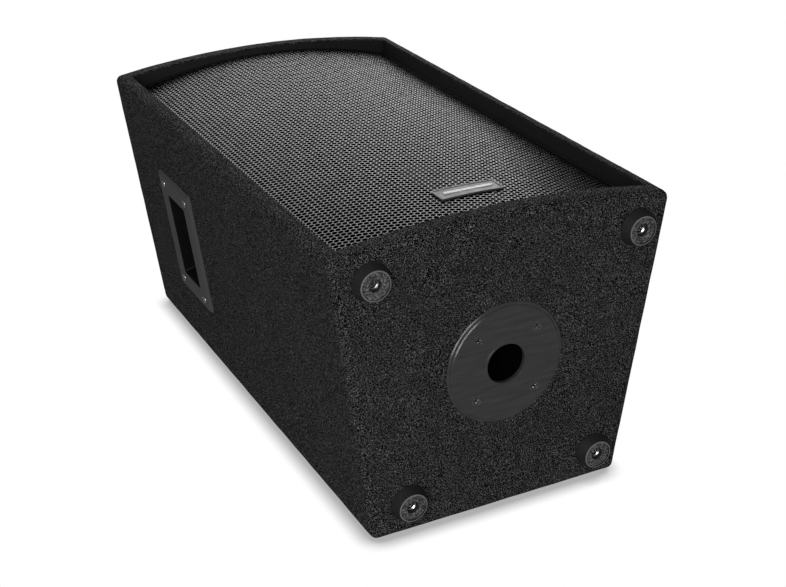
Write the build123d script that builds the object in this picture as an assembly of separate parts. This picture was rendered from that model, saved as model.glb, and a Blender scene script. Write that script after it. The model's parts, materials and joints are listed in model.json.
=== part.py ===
from build123d import *
import math
import os

# A passive two-way loudspeaker cabinet for stage use: a carpeted box of boards that tapers towards the
# back, with a bowed steel grille, a 10-inch woofer, a horn with a compression driver, two port tubes,
# a crossover, a recessed terminal dish, two pocket handles, a pole socket and four rubber feet.
#
# Millimetres. +Z up, -Y is the grille side, +X is to the right seen from the front.
# The origin is the centre of the footprint, on the plane that the feet stand on.

# ---------------------------------------------------------------- cabinet
WIDTH_FRONT = 320.0  # across the front edges of the side panels, over the carpet
WIDTH_BACK = 246.0  # across the back, over the carpet
SIDE_DEPTH = 266.0  # front edge of a side panel to the back face
ARC_RISE = 14.0  # bow of the top and bottom panels' front edges
HEIGHT = 524.0  # bottom face to top face, without the feet
FOOT_HEIGHT = 10.0
CARPET = 1.5
SIDE_BOARD = 12.0  # sides and back
END_BOARD = 16.0  # top and bottom
CORNER_RADIUS = 7.0  # rounding of the carpeted outer edges
DISH_LIP = 3.0  # the terminal dish's flange stands this far behind the back face

# ---------------------------------------------------------------- front
BAFFLE_Y = -90.0  # front face of the baffle
BAFFLE_THICK = 15.0
GRILLE_TIP_Y = -134.5  # front of the grille on the centre line
GRILLE_SIDE_Y = -115.5  # front of the grille at its side edges
GRILLE_HALF = 142.8
GRILLE_SHEET = 1.2
GRILLE_FOLD = 10.0  # depth of the grille's folded side edges
GRILLE_GAP = 0.5  # grille to the top and bottom boards
FOAM_THICK = 6.0
FOAM_HALF = 138.0
BATTEN_THICK = 12.0
BATTEN_BACK_Y = -98.0
BATTEN_HALF = 138.0
BADGE_WIDTH = 60.0
BADGE_HEIGHT = 20.0
BADGE_Z = 78.0
BADGE_THICK = 1.5

# ---------------------------------------------------------------- fittings
FOOT_FRONT_LEFT = (-125.0, -106.7)  # the four feet are slightly out of square
FOOT_FRONT_RIGHT = (125.7, -102.2)
FOOT_BACK_LEFT = (-90.3, 107.7)
FOOT_BACK_RIGHT = (96.4, 109.8)
FOOT_FACE_R = 13.2
FOOT_BASE_R = 16.7
POLE_Y = -4.3
POLE_R = 18.0  # takes a 35 mm pole
POLE_WALL = 2.5
POLE_FLANGE_R = 56.0
POLE_FLANGE = 2.6
POLE_DEPTH = 82.0  # mouth to the closed end
POLE_SCREW_R = 40.0  # radius of the ring of screws
HANDLE_Y = 7.2
HANDLE_Z = 388.6
HANDLE_LONG = 131.5
HANDLE_HIGH = 85.7
HANDLE_FLANGE = 0.5  # height of the flange's outer edge
HANDLE_RISE = 3.2  # height of its face, inside the bevelled border
HANDLE_BEVEL = 3.0  # width of that border
HANDLE_SEAT = 1.6  # height of the screws' seats, sunk in the face
HANDLE_CORNER = 1.5
POCKET_LONG = 90.0
POCKET_HIGH = 46.5
POCKET_DEPTH = 40.0
HANDLE_SCREWS = (54.3, 29.3)  # half spacings along the side and upwards
DISH_Z = 150.0
DISH_SIZE = (160.0, 100.0)
DISH_POCKET = (124.0, 66.0)
DISH_DEPTH = 34.0
DISH_WALL = 2.5
JACK_X = (-46.0, -20.0)
JACK_BORE_R = 3.2  # takes a 6.35 mm plug
JACK_BUSH_R = 5.6
CONNECTOR_X = (12.0, 44.0)
CONNECTOR_R = 11.8
CONNECTOR_PLATE = (26.0, 31.0)

# ---------------------------------------------------------------- drivers
WOOFER_Z = 166.0
WOOFER_R = 128.0
WOOFER_HOLE_R = 116.0
WOOFER_BOLT_R = 122.0  # radius of the ring of eight bolts
HORN_Z = 444.0
HORN_PLATE = (230.0, 136.0)
HORN_MOUTH = (200.0, 108.0)
HORN_THICK = 4.0
THROAT_R = 12.7
THROAT_DEPTH = 66.0  # baffle front to the driver's face
NECK_R = 17.5  # threaded neck that the driver screws onto
NECK_LENGTH = 10.0
PORT_X = 68.0
PORT_Z = 331.0
PORT_R = 24.0
PORT_WALL = 2.0
PORT_LENGTH = 88.0
PORT_FLANGE_R = 33.0

# ---------------------------------------------------------------- crossover
BOARD_Z = 275.0
BOARD_SIZE = (120.0, 90.0)
BOARD_THICK = 1.6
POST_HEIGHT = 8.0

# ---------------------------------------------------------------- fasteners
HANDLE_SCREW_R = 1.9
HANDLE_SCREW_LONG = 13.0
HANDLE_SINK_R = 4.8
POLE_SHANK_R = 2.4
POLE_HEAD_R = 4.9
FOOT_SHANK_R = 2.2
FOOT_HEAD_R = 3.8
DISH_SHANK_R = 1.8
DISH_HEAD_R = 3.6
SMALL_SCREW_R = 1.8
TEE_BARREL_R = 3.4  # barrel of a tee nut for the woofer's bolts

# ---------------------------------------------------------------- derived places
TIP_Y = -(ARC_RISE + SIDE_DEPTH + DISH_LIP) / 2
SIDE_FRONT_Y = TIP_Y + ARC_RISE
BACK_Y = SIDE_FRONT_Y + SIDE_DEPTH
BOTTOM_Z = FOOT_HEIGHT
TOP_Z = BOTTOM_Z + HEIGHT
TAPER = (WIDTH_FRONT - WIDTH_BACK) / 2 / SIDE_DEPTH
SIDE_ANGLE = math.atan(TAPER)
WALL = CARPET + SIDE_BOARD
END_WALL = CARPET + END_BOARD
INNER_BOTTOM = BOTTOM_Z + END_WALL
INNER_TOP = TOP_Z - END_WALL
INNER_BACK_Y = BACK_Y - WALL
FRONT_ARC_R = ((WIDTH_FRONT / 2) ** 2 + ARC_RISE ** 2) / (2 * ARC_RISE)
GRILLE_RISE = GRILLE_SIDE_Y - GRILLE_TIP_Y
GRILLE_ARC_R = (GRILLE_HALF ** 2 + GRILLE_RISE ** 2) / (2 * GRILLE_RISE)
GRILLE_ARC_Y = GRILLE_TIP_Y + GRILLE_ARC_R
PAST = 60.0  # how far cutting tools run past what they cut


# ================================================================ helpers
def turned_y(points, x=0.0, z=0.0):
    """A solid turned about an axis along Y through (x, z); points are (radius, y)."""
    face = make_face(Polyline(*points, close=True))
    return Pos(x, 0, z) * revolve(face, Axis.Y, 360)


def turned_z(points, x=0.0, y=0.0):
    """A solid turned about a vertical axis through (x, y); points are (radius, z)."""
    face = Plane.XZ * make_face(Polyline(*points, close=True))
    return Pos(x, y, 0) * revolve(face, Axis.Z, 360)


def block(x0, x1, y0, y1, z0, z1):
    """A box given by its low and high faces."""
    size = (x1 - x0, y1 - y0, z1 - z0)
    return Pos((x0 + x1) / 2, (y0 + y1) / 2, (z0 + z1) / 2) * Box(*size)


def rounded_slab(width, height, radius, low, high):
    """A rounded rectangle in the local XY plane, from low to high along local Z."""
    return Pos(0, 0, low) * extrude(RectangleRounded(width, height, radius), high - low)


def rod(radius, low, high):
    """A cylinder along local Z from low to high."""
    return Pos(0, 0, (low + high) / 2) * Cylinder(radius, high - low)


def cross_slot(size, width, low, high):
    """The cutter of a cross-head recess."""
    depth = high - low
    middle = (low + high) / 2
    return Pos(0, 0, middle) * (Box(size, width, depth) + Box(width, size, depth))


def pan_screw(shank_r, length, head_r, head_h):
    """A round-head screw: the head's seat is local z = 0 and the shank runs to -length."""
    crown = head_h * 0.45
    head = rod(head_r, 0, head_h)
    head = fillet(head.edges().filter_by(GeomType.CIRCLE).sort_by(Axis.Z)[-1], crown)
    slot = cross_slot(head_r * 1.1, head_r * 0.26, head_h * 0.45, head_h + 1)
    return head - slot + rod(shank_r, -length, 0)


def flat_screw(shank_r, length, head_r):
    """A countersunk screw: the head's flat top is local z = 0."""
    head_h = head_r - shank_r
    face = Plane.XZ * make_face(Polyline((0, 0), (head_r, 0), (shank_r, -head_h), (0, -head_h), close=True))
    head = revolve(face, Axis.Z, 360) - cross_slot(head_r * 1.1, head_r * 0.26, -head_h * 0.55, 1)
    return head + rod(shank_r, -length, -head_h)


def sink(shank_r, length, head_r):
    """The countersunk hole that flat_screw sits in."""
    head_h = head_r - shank_r
    points = ((0, 0.01), (head_r, 0.01), (head_r, 0), (shank_r, -head_h), (shank_r, -length), (0, -length))
    face = Plane.XZ * make_face(Polyline(*points, close=True))
    return revolve(face, Axis.Z, 360)


def group(shapes):
    """Several separate solids in one node."""
    return Compound(children=[shape.solids()[0] for shape in shapes])


def save(name, shape):
    export_step(shape, f"parts/{name}.step")


# ================================================================ cabinet outline
def half_width(y, inset):
    """Half the cabinet's width at y, with the side faces moved in by inset."""
    return WIDTH_FRONT / 2 - TAPER * (y - SIDE_FRONT_Y) - inset / math.cos(SIDE_ANGLE)


def front_corner(inset):
    """Where the inset side face meets the inset front arc, as (x, y)."""
    radius = FRONT_ARC_R - inset
    centre_y = TIP_Y + FRONT_ARC_R
    reach = half_width(centre_y, inset)
    a = 1 + TAPER ** 2
    b = -2 * TAPER * reach
    c = reach ** 2 - radius ** 2
    drop = (-b - math.sqrt(b * b - 4 * a * c)) / (2 * a)
    return reach - TAPER * drop, centre_y + drop


def outline_block(inset):
    """The cabinet's outer block with every face moved in by inset and its edges rounded."""
    x_front, y_front = front_corner(inset)
    y_back = BACK_Y - inset
    x_back = half_width(y_back, inset)
    bow = ThreePointArc((-x_front, y_front), (0, TIP_Y + inset), (x_front, y_front))
    rest = Polyline((x_front, y_front), (x_back, y_back), (-x_back, y_back), (-x_front, y_front))
    solid = Pos(0, 0, BOTTOM_Z + inset) * extrude(make_face([bow, rest]), HEIGHT - 2 * inset)
    return fillet(solid.edges(), CORNER_RADIUS - inset)


def trapezoid(inset, y0, y1, z0, z1):
    """A prism between the side faces moved in by inset."""
    x0 = half_width(y0, inset)
    x1 = half_width(y1, inset)
    face = make_face(Polyline((-x0, y0), (x0, y0), (x1, y1), (-x1, y1), close=True))
    return Pos(0, 0, z0) * extrude(face, z1 - z0)


def arc_slab(front, thick, half, z0, z1):
    """A sheet bowed like the grille: its front is this far ahead of the grille's front."""
    outer = GRILLE_ARC_R + front
    inner = outer - thick
    ring = Pos(0, GRILLE_ARC_Y, z0) * extrude(Circle(outer) - Circle(inner), z1 - z0)
    return ring & block(-half, half, GRILLE_TIP_Y - PAST, -PAST, z0 - 1, z1 + 1)


def side_plane(sign):
    """The plane on a side panel's carpet at the handle: local Z points out, local Y up."""
    x = sign * half_width(HANDLE_Y, 0)
    out = (sign * math.cos(SIDE_ANGLE), math.sin(SIDE_ANGLE), 0)
    along = (-math.sin(SIDE_ANGLE), sign * math.cos(SIDE_ANGLE), 0)
    return Plane(origin=(x, HANDLE_Y, HANDLE_Z), x_dir=along, z_dir=out)


def facing_down(x, y, z):
    """A place on the underside: local Z points down."""
    return Location(Plane(origin=(x, y, z), x_dir=(1, 0, 0), z_dir=(0, 0, -1)))


def facing_front(x, y, z):
    """A place facing the front: local Z points to -Y."""
    return Location(Plane(origin=(x, y, z), x_dir=(1, 0, 0), z_dir=(0, -1, 0)))


def facing_back(x, y, z):
    """A place facing the back: local Z points to +Y."""
    return Location(Plane(origin=(x, y, z), x_dir=(-1, 0, 0), z_dir=(0, 1, 0)))


def on_circle(radius, count, start):
    """Points of a ring as (x, z) offsets."""
    step = 360 / count
    angles = [math.radians(start + step * i) for i in range(count)]
    return [(radius * math.cos(a), radius * math.sin(a)) for a in angles]


# ================================================================ places of the fasteners
FEET = {
    "foot_front_left": FOOT_FRONT_LEFT,
    "foot_front_right": FOOT_FRONT_RIGHT,
    "foot_back_left": FOOT_BACK_LEFT,
    "foot_back_right": FOOT_BACK_RIGHT,
}


def handle_screw_places():
    places = []
    for sign in (-1, 1):
        for along in (-HANDLE_SCREWS[0], HANDLE_SCREWS[0]):
            for up in (-HANDLE_SCREWS[1], HANDLE_SCREWS[1]):
                places.append(Location(side_plane(sign)) * Pos(along, up, HANDLE_SEAT))
    return places


def pole_screw_places():
    ring = on_circle(POLE_SCREW_R, 4, 45)
    return [facing_down(x, POLE_Y + y, BOTTOM_Z - POLE_FLANGE) for x, y in ring]


def dish_screw_places():
    x = DISH_SIZE[0] / 2 - 9
    z = DISH_SIZE[1] / 2 - 9
    corners = [(sx * x, sz * z) for sx in (-1, 1) for sz in (-1, 1)]
    return [facing_back(cx, BACK_Y + DISH_LIP, DISH_Z + cz) for cx, cz in corners]


def woofer_bolt_places():
    ring = on_circle(WOOFER_BOLT_R, 8, 22.5)
    return [facing_front(x, BAFFLE_Y - 3, WOOFER_Z + z) for x, z in ring]


def horn_screw_places():
    x = HORN_PLATE[0] / 2 - 7
    z = HORN_PLATE[1] / 2 - 7
    corners = [(sx * x, sz * z) for sx in (-1, 1) for sz in (-1, 1)]
    return [facing_front(cx, BAFFLE_Y - HORN_THICK, HORN_Z + cz) for cx, cz in corners]


def screw_holes():
    """Every hole that a screw's shank cuts through carpet and board."""
    cutters = [p * rod(HANDLE_SCREW_R, -HANDLE_SCREW_LONG, 1) for p in handle_screw_places()]
    cutters += [p * rod(POLE_SHANK_R, -17, 0) for p in pole_screw_places()]
    cutters += [p * rod(DISH_SHANK_R, -15, 0) for p in dish_screw_places()]
    for x, y in FEET.values():
        cutters.append(facing_down(x, y, BOTTOM_Z) * rod(FOOT_SHANK_R, -15, 1))
    return cutters


# ================================================================ boards and carpet
def openings():
    """The through holes for the handles, the pole socket and the terminal dish."""
    cutters = []
    for sign in (-1, 1):
        hole = rounded_slab(POCKET_LONG + 8, POCKET_HIGH + 8, 8, -25, 5)
        cutters.append(Location(side_plane(sign)) * hole)
    cutters.append(Pos(0, POLE_Y, 0) * rod(POLE_R + POLE_WALL, BOTTOM_Z - 5, INNER_BOTTOM + 5))
    dish = rounded_slab(DISH_POCKET[0] + 2 * DISH_WALL, DISH_POCKET[1] + 2 * DISH_WALL, 6, -25, 5)
    cutters.append(facing_back(0, BACK_Y, DISH_Z) * dish)
    return cutters


def make_boards():
    blank = outline_block(CARPET)
    inside = trapezoid(WALL, TIP_Y - PAST, INNER_BACK_Y, INNER_BOTTOM, INNER_TOP)
    shell = blank - inside
    cutters = openings() + screw_holes()
    wide = WIDTH_FRONT
    top = shell & block(-wide, wide, -wide, wide, INNER_TOP, TOP_Z)
    bottom = shell & block(-wide, wide, -wide, wide, BOTTOM_Z, INNER_BOTTOM)
    ring = shell & block(-wide, wide, -wide, wide, INNER_BOTTOM, INNER_TOP)
    back_zone = trapezoid(WALL, INNER_BACK_Y, BACK_Y + 5, INNER_BOTTOM - 1, INNER_TOP + 1)
    back = ring & back_zone
    sides = ring - back_zone
    left = sides & block(-wide, 0, -wide, wide, BOTTOM_Z, TOP_Z)
    right = sides & block(0, wide, -wide, wide, BOTTOM_Z, TOP_Z)
    boards = {
        "panel_top": top,
        "panel_bottom": bottom,
        "panel_left": left,
        "panel_right": right,
        "panel_back": back,
    }
    for name, board in boards.items():
        for cutter in cutters:
            board = board - cutter
        save(name, board)


def make_carpet():
    mouth = trapezoid(WALL, TIP_Y - PAST, SIDE_FRONT_Y + PAST, INNER_BOTTOM, INNER_TOP)
    skin = outline_block(0) - outline_block(CARPET) - mouth
    for cutter in openings() + screw_holes():
        skin = skin - cutter
    margin = CORNER_RADIUS + 4
    half = WIDTH_BACK / 2 - margin
    window = block(-half, half, BACK_Y - CARPET, BACK_Y + 1, BOTTOM_Z + margin, TOP_Z - margin)
    save("carpet_wrap", skin - window)
    save("carpet_back", skin & window)


def make_baffle():
    board = trapezoid(WALL, BAFFLE_Y, BAFFLE_Y + BAFFLE_THICK, INNER_BOTTOM, INNER_TOP)
    board -= facing_front(0, BAFFLE_Y, WOOFER_Z) * rod(WOOFER_HOLE_R, -BAFFLE_THICK - 1, 1)
    horn_hole = rounded_slab(HORN_MOUTH[0] + 10, HORN_MOUTH[1] + 10, 12, -BAFFLE_THICK - 1, 1)
    board -= facing_front(0, BAFFLE_Y, HORN_Z) * horn_hole
    for x in (-PORT_X, PORT_X):
        board -= facing_front(x, BAFFLE_Y, PORT_Z) * rod(PORT_R + PORT_WALL, -BAFFLE_THICK - 1, 1)
    for place in woofer_bolt_places():
        board -= place * rod(TEE_BARREL_R, -BAFFLE_THICK - 5, 0)
    for place in horn_screw_places():
        board -= place * rod(SMALL_SCREW_R, -HORN_THICK - 12, 0)
    save("baffle", board)


# ================================================================ grille
def make_grille():
    z0 = INNER_BOTTOM + GRILLE_GAP
    z1 = INNER_TOP - GRILLE_GAP
    sheet = arc_slab(0, GRILLE_SHEET, GRILLE_HALF, z0, z1)
    side_y = GRILLE_SIDE_Y
    for sign in (-1, 1):
        outer = sign * GRILLE_HALF
        inner = sign * (GRILLE_HALF - GRILLE_SHEET)
        fold = block(min(outer, inner), max(outer, inner), side_y, side_y + GRILLE_FOLD, z0, z1)
        sheet = sheet + fold
    save("grille", sheet)

    back = -GRILLE_SHEET
    foam = arc_slab(back, FOAM_THICK, FOAM_HALF, INNER_BOTTOM + BATTEN_THICK, INNER_TOP - BATTEN_THICK)
    save("grille_foam", foam)

    battens = []
    for z in (INNER_BOTTOM, INNER_TOP - BATTEN_THICK):
        batten = arc_slab(back, PAST, BATTEN_HALF, z, z + BATTEN_THICK)
        battens.append(batten & block(-WIDTH_FRONT, WIDTH_FRONT, TIP_Y, BATTEN_BACK_Y, z, z + BATTEN_THICK))
    save("grille_battens", group(battens))


def make_badge():
    low = BADGE_Z - BADGE_HEIGHT / 2
    high = BADGE_Z + BADGE_HEIGHT / 2
    plate = arc_slab(BADGE_THICK, BADGE_THICK, BADGE_WIDTH / 2, low, high)
    plate = fillet(plate.edges().filter_by(lambda e: abs(e.length - BADGE_THICK) < 0.2), 2.0)
    field = arc_slab(BADGE_THICK + 1, 1.4, BADGE_WIDTH / 2 - 1.4, low + 1.4, high - 1.4)
    plate -= field
    save("badge_plate", plate)


# ================================================================ handles, feet and pole socket
def make_handle(name, sign):
    outer = chamfer(Rectangle(HANDLE_LONG, HANDLE_HIGH).vertices(), HANDLE_CORNER)
    inner = chamfer(Rectangle(HANDLE_LONG - 2 * HANDLE_BEVEL, HANDLE_HIGH - 2 * HANDLE_BEVEL).vertices(), 1.0)
    flange = extrude(outer, HANDLE_FLANGE) + loft([Pos(0, 0, HANDLE_FLANGE) * outer, Pos(0, 0, HANDLE_RISE) * inner])
    cup_face = RectangleRounded(POCKET_LONG + 5, POCKET_HIGH + 5, 7)
    cup_floor = Pos(0, 2, -POCKET_DEPTH) * RectangleRounded(POCKET_LONG - 9, POCKET_HIGH - 5, 7)
    cup = loft([cup_face, cup_floor])
    mouth = Pos(0, 0, HANDLE_RISE + 0.5) * RectangleRounded(POCKET_LONG, POCKET_HIGH, 2)
    floor = Pos(0, 2, -POCKET_DEPTH + 2.5) * RectangleRounded(POCKET_LONG - 13, POCKET_HIGH - 9, 2)
    body = flange + cup - loft([mouth, floor])
    for along in (-HANDLE_SCREWS[0], HANDLE_SCREWS[0]):
        for up in (-HANDLE_SCREWS[1], HANDLE_SCREWS[1]):
            body -= Pos(along, up, 0) * rod(HANDLE_SCREW_R, -1, HANDLE_SEAT)
            body -= Pos(along, up, 0) * rod(HANDLE_SINK_R, HANDLE_SEAT, HANDLE_RISE + 1)
    save(name, Location(side_plane(sign)) * body)


def make_handles():
    make_handle("handle_left", -1)
    make_handle("handle_right", 1)
    screw = [p * pan_screw(HANDLE_SCREW_R, HANDLE_SCREW_LONG, 3.9, 2.4) for p in handle_screw_places()]
    save("handle_screws", group(screw))


def make_pole_socket():
    face = BOTTOM_Z - POLE_FLANGE
    end = face + POLE_DEPTH
    tube_r = POLE_R + POLE_WALL
    step_r = POLE_FLANGE_R - 3.0  # edge of the raised face
    base = BOTTOM_Z - 1.3  # face of the thinner rim outside it
    bevel = 0.8
    points = (
        (POLE_R + 1, face - 0.3),
        (POLE_R + 2.2, face - 0.3),
        (POLE_R + 2.6, face),
        (step_r - bevel, face),
        (step_r, face + bevel),
        (step_r, base),
        (POLE_FLANGE_R - bevel, base),
        (POLE_FLANGE_R, base + bevel),
        (POLE_FLANGE_R, BOTTOM_Z),
        (tube_r, BOTTOM_Z),
        (tube_r, end + POLE_WALL),
        (0, end + POLE_WALL),
        (0, end),
        (POLE_R, end),
        (POLE_R, face + 1),
        (POLE_R + 0.3, face),
    )
    socket = turned_z(points, 0, POLE_Y)
    for place in pole_screw_places():
        socket -= place * sink(POLE_SHANK_R, 10, POLE_HEAD_R)
    save("pole_socket", socket)
    screws = [p * flat_screw(POLE_SHANK_R, 17, POLE_HEAD_R - 0.1) for p in pole_screw_places()]
    save("pole_socket_screws", group(screws))


def make_feet():
    rim_in = FOOT_FACE_R - 1.1
    dish = 1.5  # depth of the face inside its raised rim
    well_r = 5.4
    seat = 8.5
    points = (
        (rim_in, 0),
        (FOOT_FACE_R - 0.4, 0),
        (FOOT_FACE_R, 0.4),
        (FOOT_BASE_R, FOOT_HEIGHT - 1),
        (FOOT_BASE_R, FOOT_HEIGHT),
        (FOOT_SHANK_R, FOOT_HEIGHT),
        (FOOT_SHANK_R, seat),
        (well_r, seat),
        (well_r, dish + 0.4),
        (well_r + 0.4, dish),
        (rim_in, dish),
    )
    cup_r = well_r - 0.3
    bore_z = seat - 0.4
    cup_z = bore_z - (cup_r - 0.4 - FOOT_SHANK_R)
    cup = (
        (FOOT_SHANK_R, seat),
        (cup_r, seat),
        (cup_r, cup_z),
        (cup_r - 0.4, cup_z),
        (FOOT_SHANK_R, bore_z),
    )
    washers = []
    screws = []
    for name, (x, y) in FEET.items():
        save(name, turned_z(points, x, y))
        washers.append(turned_z(cup, x, y))
        head = facing_down(x, y, bore_z - (FOOT_HEAD_R - FOOT_SHANK_R))
        screws.append(head * flat_screw(FOOT_SHANK_R, 18, FOOT_HEAD_R))
    save("foot_washers", group(washers))
    save("foot_screws", group(screws))


# ================================================================ terminal dish
def make_terminal_dish():
    flange = rounded_slab(DISH_SIZE[0], DISH_SIZE[1], 9, 0, DISH_LIP)
    flange = chamfer(flange.faces().sort_by(Axis.Z)[-1].edges(), 1.0)
    cup = rounded_slab(DISH_POCKET[0] + 2 * DISH_WALL, DISH_POCKET[1] + 2 * DISH_WALL, 6, -DISH_DEPTH - DISH_WALL, 0)
    pocket = rounded_slab(DISH_POCKET[0], DISH_POCKET[1], 4, -DISH_DEPTH, DISH_LIP + 1)
    body = flange + cup - pocket
    for x in JACK_X:
        body -= Pos(-x, 0, 0) * rod(JACK_BUSH_R, -DISH_DEPTH - 5, 0)
    for x in CONNECTOR_X:
        body -= Pos(-x, 0, 0) * rod(CONNECTOR_R, -DISH_DEPTH - 5, 0)
        for spot in connector_screw_spots():
            body -= Pos(spot[0] - x, spot[1], 0) * rod(SMALL_SCREW_R, -DISH_DEPTH - 5, 0)
    body = facing_back(0, BACK_Y, DISH_Z) * body
    for place in dish_screw_places():
        body -= place * sink(DISH_SHANK_R, 8, DISH_HEAD_R)
    save("terminal_dish", body)


def connector_screw_spots():
    return ((-9.5, 12.0), (9.5, -12.0))


def make_sockets():
    floor = -DISH_DEPTH
    jacks = []
    for x in JACK_X:
        collar = rod(8.2, floor, floor + 2.4)
        collar = chamfer(collar.faces().sort_by(Axis.Z)[-1].edges(), 0.8)
        jack = collar + rod(JACK_BUSH_R, floor - DISH_WALL, floor)
        jack += Pos(0, 0, floor - DISH_WALL - 13) * Box(18, 21, 26)
        for up in (-6, 6):
            jack += Pos(0, up, floor - DISH_WALL - 28) * Box(4, 0.8, 6)
        jack -= rod(JACK_BORE_R, floor - 26, floor + 3)
        jacks.append(facing_back(x, BACK_Y, DISH_Z) * jack)
    save("jack_sockets", group(jacks))

    connectors = []
    for x in CONNECTOR_X:
        plate = rounded_slab(CONNECTOR_PLATE[0], CONNECTOR_PLATE[1], 2.5, floor, floor + 2.5)
        body = plate + rod(CONNECTOR_R, floor - 20, floor)
        body -= rod(10.4, floor - 17, floor + 3)
        body += rod(7.2, floor - 18, floor + 1)
        body -= rod(4.6, floor - 14, floor + 2)
        for angle in (0, 90, 180, 270):
            body += Rot(0, 0, angle) * Pos(7.0, 0, floor - 23) * Box(0.8, 4.8, 7)
        for spot in connector_screw_spots():
            body -= Pos(spot[0], spot[1], 0) * rod(SMALL_SCREW_R, floor - 1, floor + 4)
        connectors.append(facing_back(x, BACK_Y, DISH_Z) * body)
    save("speaker_connectors", group(connectors))

    screws = [p * flat_screw(DISH_SHANK_R, 15, DISH_HEAD_R - 0.1) for p in dish_screw_places()]
    for x in CONNECTOR_X:
        for spot in connector_screw_spots():
            seat = facing_back(x, BACK_Y, DISH_Z) * Pos(spot[0], spot[1], floor + 2.5)
            screws.append(seat * pan_screw(SMALL_SCREW_R, 7, 3.0, 1.8))
    save("terminal_screws", group(screws))


# ================================================================ woofer
def make_woofer():
    y = BAFFLE_Y
    profile = (
        (WOOFER_R, -3), (WOOFER_R, 0), (115.5, 0), (115.5, 18), (76, 46), (76, 48), (64, 48), (60, 66),
        (30, 66), (30, 63), (57.5, 63), (61.5, 46), (72, 46), (112.5, 17), (112.5, -3),
    )
    basket = turned_y([(r, y + d) for r, d in profile], 0, WOOFER_Z)
    for px, pz in on_circle(96, 8, 0):
        turn = math.degrees(math.atan2(pz, px))
        window = Rot(0, -turn, 0) * Box(30, 60, 40)
        basket -= Pos(px, y + 34, WOOFER_Z + pz) * window
    for place in woofer_bolt_places():
        basket -= place * rod(2.5, -4, 1)
    save("woofer_basket", basket)

    gasket = ((112.5, -6.6), (117, -6.6), (117, -3.8), (112.5, -3.8))
    save("woofer_gasket", turned_y([(r, y + d) for r, d in gasket], 0, WOOFER_Z))
    plate = ((27.2, 66), (52, 66), (52, 72), (27.2, 72))
    save("woofer_top_plate", turned_y([(r, y + d) for r, d in plate], 0, WOOFER_Z))
    magnet = ((32, 72), (58, 72), (60, 74), (60, 88), (58, 90), (32, 90))
    save("woofer_magnet", turned_y([(r, y + d) for r, d in magnet], 0, WOOFER_Z))
    pole = ((6, 66), (24.4, 66), (24.4, 90), (54, 90), (54, 94), (50, 97), (6, 97))
    save("woofer_pole_piece", turned_y([(r, y + d) for r, d in pole], 0, WOOFER_Z))

    coil = ((25.0, 34), (25.6, 34), (25.6, 63), (26.4, 63), (26.4, 75), (25.6, 75), (25.6, 76), (25.0, 76))
    save("woofer_voice_coil", turned_y([(r, y + d) for r, d in coil], 0, WOOFER_Z))
    cone = ((93, -3.0), (93, -2.2), (90.5, -2.2), (25.65, 37.4), (25.65, 36.4), (89.8, -3.0))
    save("woofer_cone", turned_y([(r, y + d) for r, d in cone], 0, WOOFER_Z))
    save("woofer_dust_cap", make_dust_cap(y))
    save("woofer_surround", make_surround(y))
    save("woofer_spider", make_spider(y))

    bolts = [p * pan_screw(2.4, 22, 4.6, 3.0) for p in woofer_bolt_places()]
    save("woofer_bolts", group(bolts))
    nuts = []
    for place in woofer_bolt_places():
        nut = rod(TEE_BARREL_R, -BAFFLE_THICK - 3, -BAFFLE_THICK + 6) + rod(5.6, -BAFFLE_THICK - 4.2, -BAFFLE_THICK - 3)
        nuts.append(place * (nut - rod(2.4, -BAFFLE_THICK - 6, -BAFFLE_THICK + 7)))
    save("woofer_tee_nuts", group(nuts))

    leads = []
    for x in (-7, 7):
        route = [(x, y + 26.5, WOOFER_Z - 46), (x, y + 33, WOOFER_Z - 60), (x, y + 37.5, WOOFER_Z - 80.6)]
        leads.append(wire(route, [8], 0.8))
    save("woofer_tinsel_leads", group(leads))
    terminal = block(-14, 14, y + 36, y + 48, WOOFER_Z - 88, WOOFER_Z - 81)
    for x in (-7, 7):
        terminal += block(x - 2.4, x + 2.4, y + 42, y + 42.8, WOOFER_Z - 97, WOOFER_Z - 88)
    save("woofer_terminals", terminal)


def make_dust_cap(y):
    edge_r = 38.0
    edge_y = 28.0
    rise = 13.0
    thick = 0.7
    centre = Vector(0, y + edge_y - rise)
    outer = ThreePointArc(centre, (edge_r * 0.55, y + edge_y - rise * 0.74), (edge_r, y + edge_y))
    inner = ThreePointArc(
        (0, y + edge_y - rise + thick),
        (edge_r * 0.55 - 0.3, y + edge_y - rise * 0.74 + thick),
        (edge_r - 1.0, y + edge_y + 0.3),
    )
    ends = [Line(outer @ 0, inner @ 0), Line(outer @ 1, inner @ 1)]
    cap = revolve(make_face([outer, inner] + ends), Axis.Y, 360)
    return Pos(0, 0, WOOFER_Z) * cap


def make_surround(y):
    roll_r = 102.0
    half = 8.0
    thick = 0.8
    ring = Circle(half + thick / 2) - Circle(half - thick / 2)
    front_half = Pos(0, -20) * Rectangle(60, 40)
    roll = (ring & front_half)
    roll = Pos(roll_r, y - 3.0) * roll
    outer = Pos((roll_r + half - 0.4 + 117) / 2, y - 3.4) * Rectangle(117 - roll_r - half + 0.4, thick)
    inner = Pos((roll_r - half + 0.4 + 90.5) / 2, y - 3.4) * Rectangle(roll_r - half + 0.4 - 90.5, thick)
    face = roll + outer + inner
    return Pos(0, 0, WOOFER_Z) * revolve(face, Axis.Y, 360)


def make_spider(y):
    inner_r = 25.65
    first_r = 30.0
    last_r = 60.0
    outer_r = 71.0
    waves = 5
    thick = 0.6
    depth = 1.6
    seat = y + 45.4
    step = (last_r - first_r) / (2 * waves)
    top = [(inner_r, seat), (first_r, seat)]
    for i in range(1, 2 * waves):
        top.append((first_r + step * i, seat + (-depth if i % 2 else depth * 0.2)))
    top += [(last_r, seat), (outer_r, seat)]
    low = [(r, d + thick) for r, d in reversed(top)]
    return turned_y(top + low, 0, WOOFER_Z)


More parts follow.
